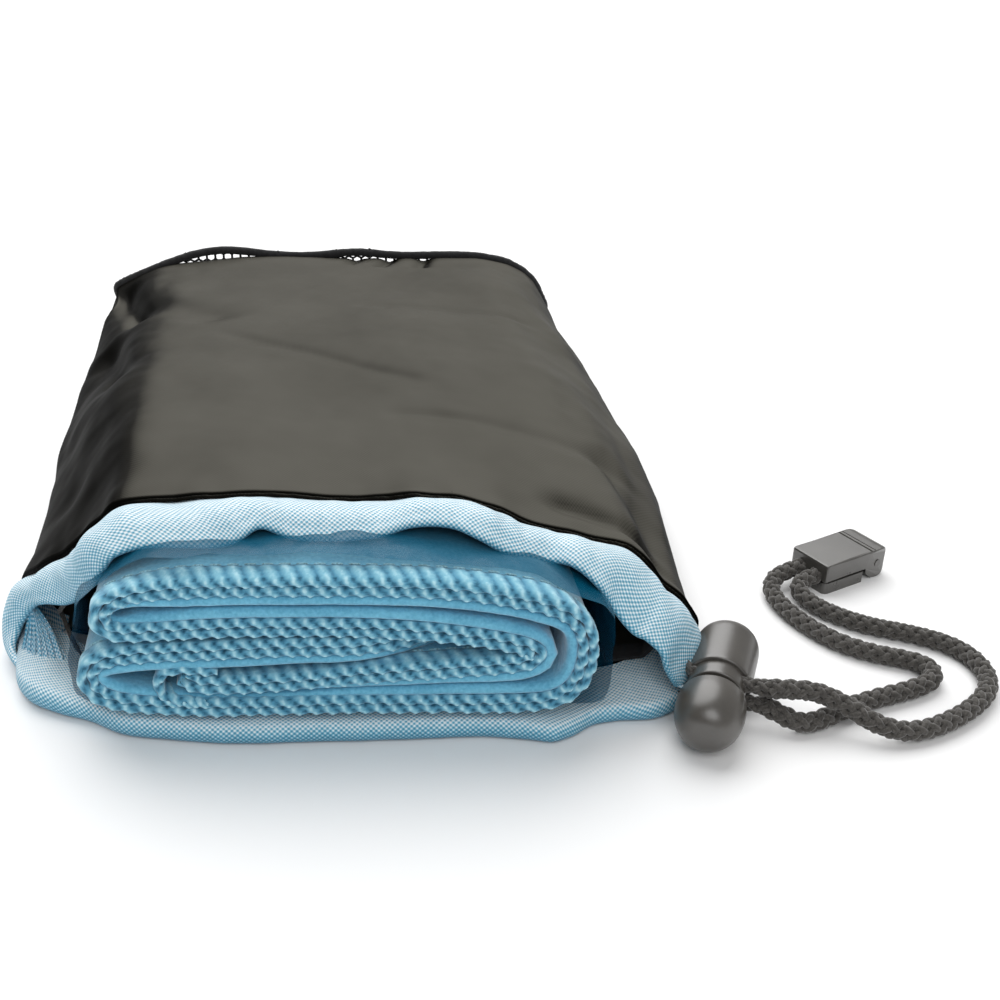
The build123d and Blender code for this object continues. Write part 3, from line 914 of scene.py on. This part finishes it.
def end_binding(line):
    t = unit(np.roll(line, -1, axis=0) - np.roll(line, 1, axis=0))
    rows = []
    for i, (p, d) in enumerate(zip(line, t)):
        ring = []
        for angle in np.linspace(0, 2 * pi, 10, endpoint=False):
            r = 1 + 0.12 * noisy(i * 0.35, angle, 0, 1, 2)
            wide, deep = 1.2 * r * cos(angle), 1.15 * r * sin(angle)
            ring.append(p + np.array([d[2] * wide, deep, -d[0] * wide]))
        rows.append(ring)
    rows = np.asarray(rows)
    rows[:, :, 2] = np.maximum(rows[:, :, 2], 0.05)
    binding = grid_piece("end_binding", rows, BINDING, "pouch", close_u=True, close_v=True)
    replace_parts(binding, "end_seam")


def within(x, z, outline):
    found = False
    for (x0, z0), (x1, z1) in zip(outline, outline[1:] + outline[:1]):
        if (z0 > z) != (z1 > z) and x < (x1 - x0) * (z - z0) / (z1 - z0) + x0:
            found = not found
    return found


def end_net(line):
    """A net of open hexagons that fills the pouch's end."""
    outline = [tuple(p[[0, 2]]) for p in line[::4]]
    verts, faces, index = [], [], {}
    for i in range(-30, 31):
        for j in range(-1, 15):
            cx, cz = (i + 0.5 * (j % 2)) * HOLE_PITCH, j * HOLE_PITCH * 0.866
            if not within(cx, cz, outline):
                continue
            face = []
            for k in range(6):
                angle = pi / 6 + k * pi / 3
                x = cx + HOLE_PITCH / 1.732 * cos(angle)
                z = cz + HOLE_PITCH / 1.732 * sin(angle)
                key = (round(x * 10), round(z * 10))
                if key not in index:
                    index[key] = len(verts)
                    dome = 1.6 * (1 - min((x / 66) ** 2, 1)) * max(0, 1 - ((z - 13) / 15) ** 2)
                    verts.append((x, END_Y + dome + 0.3 * noisy(x, z, 0, 9, 3), max(z, 0.6)))
                face.append(index[key])
            faces.append(face)
    net = mesh_piece("end_mesh", verts, faces, MESH, "pouch", smooth=False)
    modify(net, "WIREFRAME", thickness=0.0008, use_replace=True, use_even_offset=False)
    bake(net)
    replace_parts(net, "mesh_end_panel")


outline = end_outline()
end_binding(outline)
end_net(outline)

# -------- the towel

FACE_Y, FACE_SKEW = -100, -0.07
REAR_Y = 76
DEPTH = REAR_Y - FACE_Y

# The middle line of the four-layer band, seen on the folded face, from its free end at the lower
# left to its other end inside: x, z, and how full the fold of suede beside it is.
PATH = [
    (-33.5, 13.6, 0.5), (-31, 12, 0.4), (-27, 11.7, 0.35), (-15, 12.5, 0.4), (-5, 13.6, 0.6),
    (8, 14.9, 0.8), (20, 15.7, 0.9), (27, 16.3, 1), (30.2, 18, 1), (29.4, 20.3, 1), (24, 22, 1),
    (14, 23.7, 1), (4, 24.7, 1), (-6, 25.1, 1), (-18, 25.1, 1), (-30, 24.9, 1), (-40, 24.1, 0.7),
    (-44.6, 24, 0.4), (-46.8, 26.2, 0.3), (-45.6, 29, 0.4), (-41, 31, 0.7), (-34, 31.9, 1), (-20, 32.3, 1),
    (-5, 32.3, 1), (8, 32, 1), (16, 31.4, 1), (24, 30.2, 1), (31, 28.5, 1), (35.6, 26.2, 0.9),
    (37.8, 22.8, 0.9), (38.2, 18, 0.9), (37.2, 13.4, 0.9), (34.4, 10, 0.9), (29.5, 8.8, 1), (20, 8.7, 1),
    (8, 8.7, 0.9), (-5, 8.7, 0.6), (-18, 8.2, 0.4), (-30, 8, 0.35), (-41, 8.6, 0.7), (-47, 9.8, 0.9),
    (-49.6, 12.2, 0.8), (-49.8, 15.4, 0.8), (-47.2, 17.6, 1), (-42, 18.5, 1), (-32, 19, 1), (-20, 19.7, 1),
    (-8, 20, 0.9), (3, 19.8, 0.8), (11, 19.4, 0.7), (18, 19, 0.6), (25, 18.8, 0.5),
]
# The free end's own overlocked edge, round the cut side of the band
END_PATH = [
    (-27, 15.2, 1), (-33.6, 16, 1), (-37.2, 14.9, 1), (-38, 12.2, 1), (-36.8, 9.9, 1), (-33.4, 8.9, 1),
    (-29, 8.6, 1),
]
SINK_FROM, SINK = 58, 11  # mm: where the inner end starts to draw back, and how far it goes


def smooth_line(points, gap, rounds=4):
    """A smooth line along a polygon, evenly spaced."""
    return resample(cut_corners(points, rounds), gap)


def walk(path, gap):
    """Along a path: each point, the direction to its left, how far it is, and the whole length."""
    line, s = smooth_line(path, gap)
    for p, (tx, ty), at in zip(line, unit(np.gradient(line[:, :2], axis=0)), s):
        yield p, np.array([-ty, tx]), at, s[-1]


# Offsets of the four layers from the middle line, to the left of its run: the two cut edges,
# then the two layers of the front fold
EDGE_A, EDGE_B = 1.5, -0.4
FOLD_1, FOLD_2 = -1.7, -3


def face_y(x):
    """The y of the folded face, which stands slightly askew."""
    return FACE_Y + FACE_SKEW * x


def shoulder(x, z, back):
    """The upper layers rise a little behind the face, where nothing presses on them."""
    return 1.5 * (1 - exp(-back / 5)) * step(27, 31, z) * step(46, 30, abs(x))


def towel_point(x, z, back, sink=0):
    """Where a point of the face's section comes to, a distance behind the face."""
    lower = 0.057 * back * (z - 5) / 30  # the bundle is lower at its closed end
    y = face_y(x) * (1 - back / DEPTH) + REAR_Y * back / DEPTH
    return (x, y + sink, z - lower + shoulder(x, z, back))


def sinking(s, length):
    """How far the inner end has drawn back, along the path."""
    return SINK * step(length - SINK_FROM + 26, length, s) ** 1.3


def backs(front, rear, count):
    """Distances behind the face, closer together near the face."""
    return front + (rear - front) * np.linspace(0, 1, count) ** 1.7


def towel_sheet():
    """The whole cloth: four layers folded from one sheet, following the path across the bundle."""
    rows = []
    for p, n, at, length in walk(PATH, 1):
        row = []
        full, sink = p[2], sinking(at, length)

        def add(offset, back):
            if offset < EDGE_B:
                offset = EDGE_B + (offset - EDGE_B) * full
            q = p[:2] + n * offset
            fuzz = 0.14 * noisy(q[0], back, q[1], 9, 6.6) + 0.1 * noisy(q[0], back, q[1], 2.6, 1.2)
            x, y, z = towel_point(*q, back, sink * (1 - back / DEPTH))
            row.append((x, y, z + fuzz))

        for back in backs(0.9, DEPTH - 4, 23):
            add(EDGE_A, back)
        for angle in np.linspace(0, pi, 9)[1:-1]:
            mid, half = (EDGE_A + FOLD_2) / 2, (EDGE_A - FOLD_2) / 2
            add(mid + half * cos(angle), DEPTH - 4 + 3.4 * sin(angle))
        front = 1.6 + 1.6 * (1 - full)
        for back in backs(front, DEPTH - 4, 23)[::-1]:
            add(FOLD_2, back)
        for angle in np.linspace(0, pi, 11)[1:-1]:
            mid, half = (FOLD_1 + FOLD_2) / 2, (FOLD_1 - FOLD_2) / 2
            add(mid - half * cos(angle), front - 1.3 * sin(angle) ** 0.8)
        for back in backs(front, DEPTH - 7, 18):
            add(FOLD_1, back)
        for angle in np.linspace(0, pi, 7)[1:-1]:
            mid, half = (EDGE_B + FOLD_1) / 2, (EDGE_B - FOLD_1) / 2
            add(mid - half * cos(angle), DEPTH - 7 + 1.6 * sin(angle))
        for back in backs(0.9, DEPTH - 7, 18)[::-1]:
            add(EDGE_B, back)
        rows.append(row)
    sheet = grid_piece("towel_sheet", rows, TOWEL, "towel_bundle")
    thicken(sheet, 0.0009, offset=0)
    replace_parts(sheet, "towel")
    return sheet


EDGE_W, EDGE_HALF = 3.6, 0.98
STITCH = 3
FRONT_FROM, FRONT_TO = 0.38, 0.62


def edge_profile():
    """Round an overlocked edge: how far behind the face, which side, and the share of the way round."""
    profile = [(EDGE_W * (1 - k / 9) + 0.6, 1, k / 9 * FRONT_FROM) for k in range(10)]
    for k in range(1, 12):
        angle, share = pi * k / 12, FRONT_FROM + (FRONT_TO - FRONT_FROM) * k / 12
        profile.append((0.6 - 0.9 * sin(angle), cos(angle), share))
    return profile + [(0.6 + EDGE_W * k / 9, -1, FRONT_TO + k / 9 * (1 - FRONT_TO)) for k in range(10)]


def overlock(name, path, offset, phase, sunk=True):
    """An overlocked edge: slanting bars of thread over the cloth, with a knotted chain at its front."""
    profile = edge_profile()
    rows, rises = [], []
    for p, n, at, length in walk(path, 0.2):
        full = (0.35 + 0.65 * step(0, 2, at)) * (0.35 + 0.65 * step(0, 2, length - at))
        wander = 0.16 * noisy(at, offset, 0, 2.9, phase) + 0.3 * noisy(at, offset, 0, 14, phase)
        turn = (at + 0.5 * noisy(at, offset, 3, 7, phase)) / STITCH + phase
        sink = sinking(at, length) if sunk else 0
        row, rise = [], []
        for back, across, v in profile:
            if FRONT_FROM < v < FRONT_TO:
                w = (v - FRONT_FROM) / (FRONT_TO - FRONT_FROM)
                knot = cos(2 * pi * (turn + 0.28 * cos(pi * w)))
                twist = cos(2 * pi * (turn * 2 + 0.9 * w))
                h = 0.5 + 0.4 * knot + 0.12 * twist
                h *= 1 - 0.45 * exp(-(((w - 0.5) / 0.16) ** 2)) * (0.5 - 0.5 * knot)
                y_back = back - 0.55 * h * sin(pi * w)
            else:
                lean = 0.34 * (back - 0.6) * across
                lag = 0.28 if across > 0 else -0.28
                bar = 0.5 + 0.5 * cos(2 * pi * (turn + lean / STITCH + lag))
                inner = step(EDGE_W + 0.6, EDGE_W - 0.4, back)
                h = (0.22 + 0.62 * bar**0.8) * (0.35 + 0.65 * inner)
                y_back = back - 0.1
            h += 0.2 * noisy(at, back, across * 3, 0.8, phase) + 0.12 * noisy(at, back, across, 0.35, phase)
            h = min(max(h, 0), 1.1)
            thick = (EDGE_HALF * 0.68 + 0.42 * h) * full
            if back > EDGE_W + 0.5:
                thick = 0.6 * full
            q = p[:2] + n * (offset + across * thick)
            x, _, z = towel_point(*q, max(back, 0))
            row.append((x, face_y(p[0]) + y_back + wander + sink, z))
            # The stitch height, kept for the thread material's painted shade in the hollows and painted
            # highlight on the tops.
            rise.append(h * 0.9 + 0.05)
        rows.append(row)
        rises.append(rise)
    return grid_piece(name, rows, OVERLOCK, "towel_bundle", flip=True, marks={"rise": rises})


def needle_line(name, offset):
    """The straight row of small stitches along the back of an overlocked edge."""
    points = []
    for p, n, at, length in walk(PATH, 0.3):
        q = p[:2] + n * (offset + 0.68)
        points.append(towel_point(*q, EDGE_W + 0.7, sinking(at, length)))
    radii = [0.06, 0.16, 0.19, 0.2, 0.2, 0.19, 0.16, 0.06]
    return stitch_row(name, np.array(points), radii, EDGE_THREAD, "towel_bundle")


towel = towel_sheet()
edge_a = overlock("overlock_edge_a", PATH, EDGE_A, 0)
edge_b = overlock("overlock_edge_b", PATH, EDGE_B, 0.45)
edge_end = overlock("overlock_edge_end", END_PATH, 0, 0.2, sunk=False)
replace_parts(edge_a, "towel_overlock_edge")
needle = needle_line("overlock_needle_thread", EDGE_A)

# -------- the film sleeve


def film_sleeve():
    """A thin clear sleeve round the folded towel, crumpled, open at the front."""
    low, left, right = 4.9, -53.8, 43.4
    corners = [(left, low), (right, low), (right + 0.4, 25.5), (29, 33)]
    corners += [(15, 35.6), (-8, 37.6), (-39, 37.9), (left + 1.6, 27)]
    ring, n = [], 44
    for (x0, z0), (x1, z1) in zip(corners, corners[1:] + corners[:1]):
        ring += [(x0 + (x1 - x0) * k / n, z0 + (z1 - z0) * k / n) for k in range(n)]
    rows = []
    for x, z in softened(ring, 16, 8):
        row = []
        out = unit(np.array([x + 5, z - 20]))
        front = face_y(x) + 3.4 + 2.2 * noisy(x, z, 0, 11, 5.5)
        for y in np.linspace(front, 81.5, 120):
            q = np.array([x, z - 0.057 * (y + 100) * max(z - 5, 0) / 31])
            crumple = noisy(x, y, z, 15, 2.7) + 0.9 * abs(noisy(x, y, z, 7, 8.1))
            crumple += 0.25 * noisy(x, y, z, 3.2, 3.9)
            if q[1] < 8:
                crumple *= 0.15
            q = q + out * crumple * 0.8
            row.append((q[0], y, q[1]))
        rows.append(row)
    film = grid_piece("clear_film", rows, FILM, "sleeve", close_u=True, flip=True)
    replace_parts(film, "clear_sleeve")


film_sleeve()

# -------- carried-over CAD pieces

CAD_MATERIALS = {
    "lock_spring": STEEL,
    "cord_end_body": CORD_END,
    "cord_end_pin": CORD_END,
    "cord_knots": CORD,
    "side_seam_left": BINDING,
    "side_seam_right": BINDING,
    "mouth_lining": BINDING,
}
for name, material in CAD_MATERIALS.items():
    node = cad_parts[name]
    node.data.materials.clear()
    node.data.materials.append(material)

# -------- the lock and the cord end

LOCK_AT, LOCK_AXIS = np.array([61.5, -103.7, 6.4]), np.array([0.4067, 0.9135, 0])


def turned_piece(name, profile, rounds, body):
    """A profile of (along, radius), with its corners eased, turned round the lock's axis."""
    axis = unit(LOCK_AXIS)
    side = unit(np.array([axis[1], -axis[0], 0]))
    up = np.cross(side, axis)
    profile = cut_corners(profile, rounds)
    rows = []
    for angle in np.linspace(0, 2 * pi, 96, endpoint=False):
        out = side * cos(angle) + up * sin(angle)
        rows.append([LOCK_AT + axis * along + out * radius for along, radius in profile])
    return grid_piece(name, rows, LOCK, body, close_u=True)


# Sections from the lock's axis outwards: (along the axis from the dome's middle, radius)
BARREL = [
    (12, 4.4), (8.9, 4.42), (8.3, 4.6), (8.2, 5.4), (8.25, 6), (8.7, 6.12), (11, 6.15), (14, 6.15),
    (19, 6.15), (21.2, 6.1), (22.8, 5.5), (23.7, 4.2), (23.9, 2.6), (23.9, 1), (23.9, 0),
]
NECK = [
    (9.4, 4.42), (4.6, 4.42), (4.4, 4.6), (4.4, 5.1), (4.6, 5.38), (5.2, 5.4), (7, 5.4), (9.4, 5.4),
]
DOME = [
    (-8.3, 0), (-8.3, 1.2), (-8, 2.9), (-6.9, 4.5), (-4.9, 5.7), (-2.4, 6.25), (-0.2, 6.35), (1.6, 6.2),
    (2.1, 6.15), (2.4, 5.95), (2.35, 5.7), (2.1, 5.64), (1.6, 5.62), (1.2, 5.6), (1.05, 5.2), (1.05, 4.6),
    (1.2, 4.36), (3.2, 4.35), (5, 4.35), (8, 4.35), (11.8, 4.35), (12, 4.1), (12, 0),
]
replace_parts(turned_piece("lock_barrel_body", BARREL, 3, "lock"), "lock_barrel")
turned_piece("lock_barrel_neck", NECK, 2, "lock")
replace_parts(turned_piece("lock_button", DOME, 4, "plunger"), "lock_plunger")
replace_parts(held_cord(), "drawcord_in_casing")

END_AT = np.array([97.7, -51.9, 0])
END_AXIS, END_SIDE = np.array([0.9026, 0.4305, 0]), np.array([-0.4305, 0.9026, 0])
PIN_ALONG, PIN_UP, EAR_R = 15.5, 3.5, 3.5


def cord_end_cap():
    """The hinged cap of the cord end: a flat top that runs into a round barrel over the pin."""
    profile = [(12.3, 2.9), (6, 2.9), (0.05, 2.9), (0, 3.1), (0, 6.5), (0.12, 6.85), (0.45, 7), (7, 7)]
    profile += [(13.1, 7), (13.25, 6.7), (13.45, 6.7), (13.6, 7), (14.2, 7), (14.35, 6.75), (14.5, 7)]
    for angle in np.linspace(80, -150, 46):
        c, d = cos(radians(angle)), sin(radians(angle))
        stretch = (abs(c) ** 2.9 + abs(d) ** 2.9) ** (-1 / 2.9) if c > 0 else 1
        profile.append((PIN_ALONG + EAR_R * c * stretch, PIN_UP + EAR_R * d * stretch))
    half = [(2, 0), (4.75, 0), (5.05, 0.12), (5.2, 0.45)]
    widths = [(-across, inset) for across, inset in half[::-1]] + half
    centre = np.array([8.5, 4.6])
    rows = []
    for across, inset in widths:
        ring = []
        for p in profile:
            q = p + unit(centre - p) * inset
            nose = min(max((q[0] - 15.6) / 3.5, 0), 1)
            narrow = 1 - 0.42 * (1 - sqrt(1 - nose * nose))
            ring.append(END_AT + END_AXIS * q[0] + END_SIDE * across * narrow + (0, 0, q[1]))
        rows.append(ring)
    rows = np.asarray(rows)
    nu, nv = rows.shape[:2]
    faces = grid_faces(nu, nv, close_v=True)
    faces += [tuple(range(nv))[::-1], tuple(range((nu - 1) * nv, nu * nv))]
    cap = mesh_piece("cord_end_cap", rows.reshape(-1, 3), faces, CORD_END, "lid", smooth=False)
    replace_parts(cap, "cord_end_lid")


cord_end_cap()

for strand, line, leaves, length in (
    (strand_a, line_a, (0.0729, -0.1008, 0.0083), 0.110),
    (strand_b, line_b, (0.0729, -0.1008, 0.0045), 0.098),
):
    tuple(leaves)
